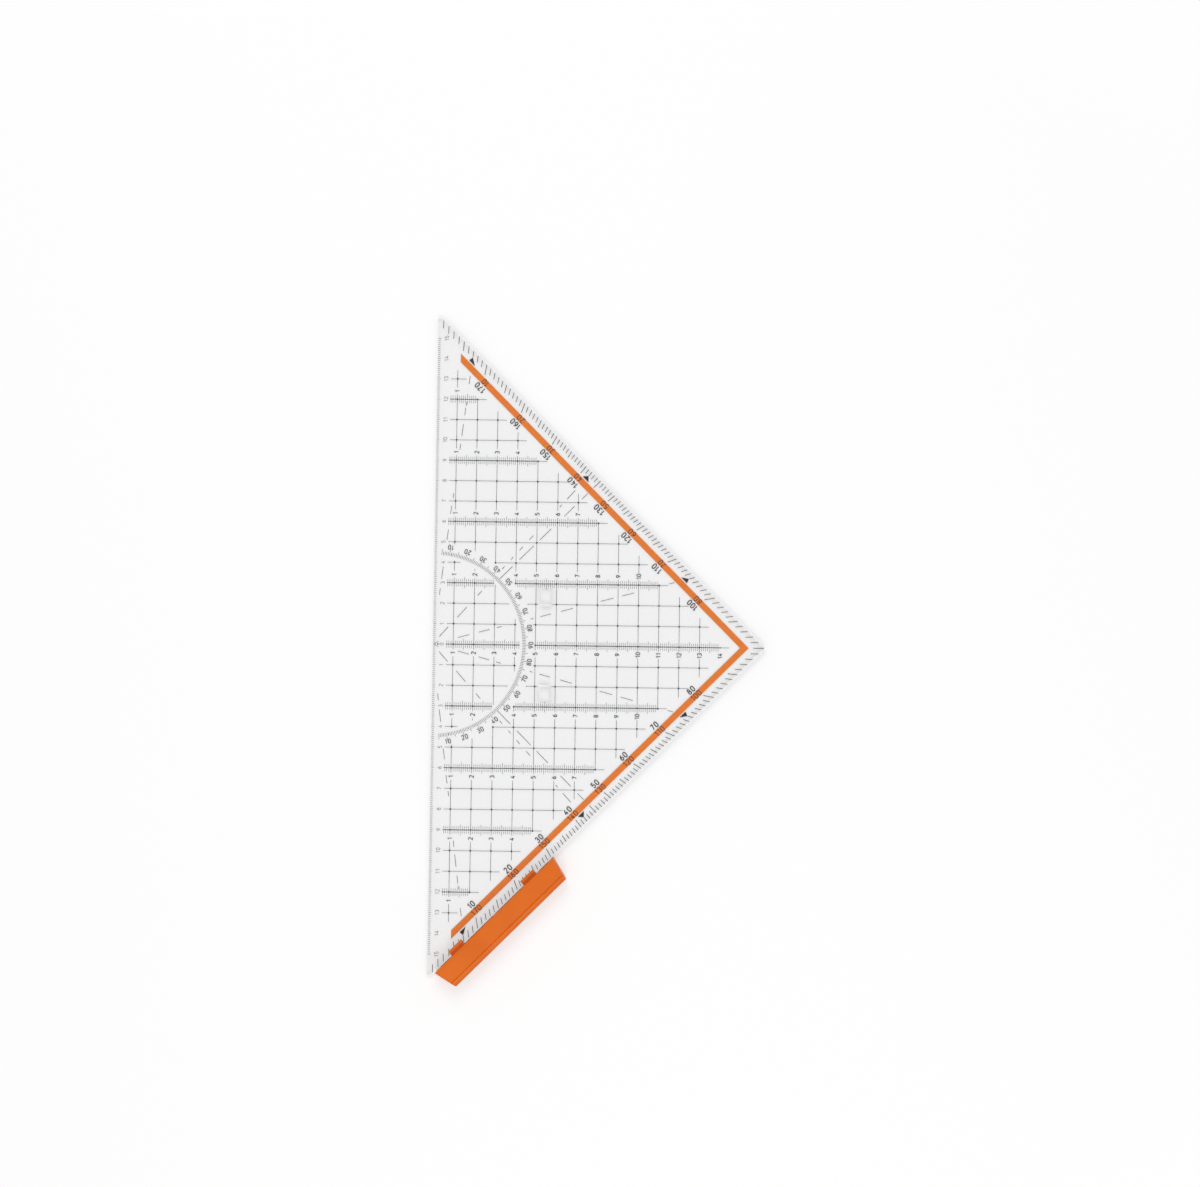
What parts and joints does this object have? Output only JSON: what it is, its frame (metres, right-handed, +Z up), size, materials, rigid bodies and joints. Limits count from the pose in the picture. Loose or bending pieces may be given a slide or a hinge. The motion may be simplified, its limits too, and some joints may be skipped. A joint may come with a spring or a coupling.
{
  "type": "drafting triangle",
  "caption": "Large clear 45 degree set square with bevelled hypotenuse, inking legs, orange bands, printed grid and protractor, and an orange plug-in handle lying beside it.",
  "frame": {"origin": "zero mark at the middle of the hypotenuse edge, at the level of the drawing surface that the nubs stand on", "axes": "+X from the hypotenuse to the apex, +Y along the hypotenuse, +Z up from the drawing surface"},
  "size_m": [0.1618, 0.3243, 0.0104],
  "materials": {
    "clear_styrene": "clear polished",
    "orange_moulding": "satin moulded",
    "orange_film": "printed film",
    "black_ink": "printed ink"
  },
  "bodies": {
    "plate": {"clear_plate": "clear_styrene", "upper_orange_band": "orange_film", "lower_orange_band": "orange_film", "centimetre_grid": "black_ink", "hypotenuse_scale": "black_ink", "protractor": "black_ink", "upper_leg_degrees": "black_ink", "lower_leg_degrees": "black_ink", "angle_pointers": "black_ink"},
    "handle": {"handle": "orange_moulding"}
  },
  "joints": [
    {"name": "handle_lift", "type": "slide", "parent": "plate", "child": "handle", "axis": [0, 0, 1], "range_m": [0, 0.05]}
  ]
}
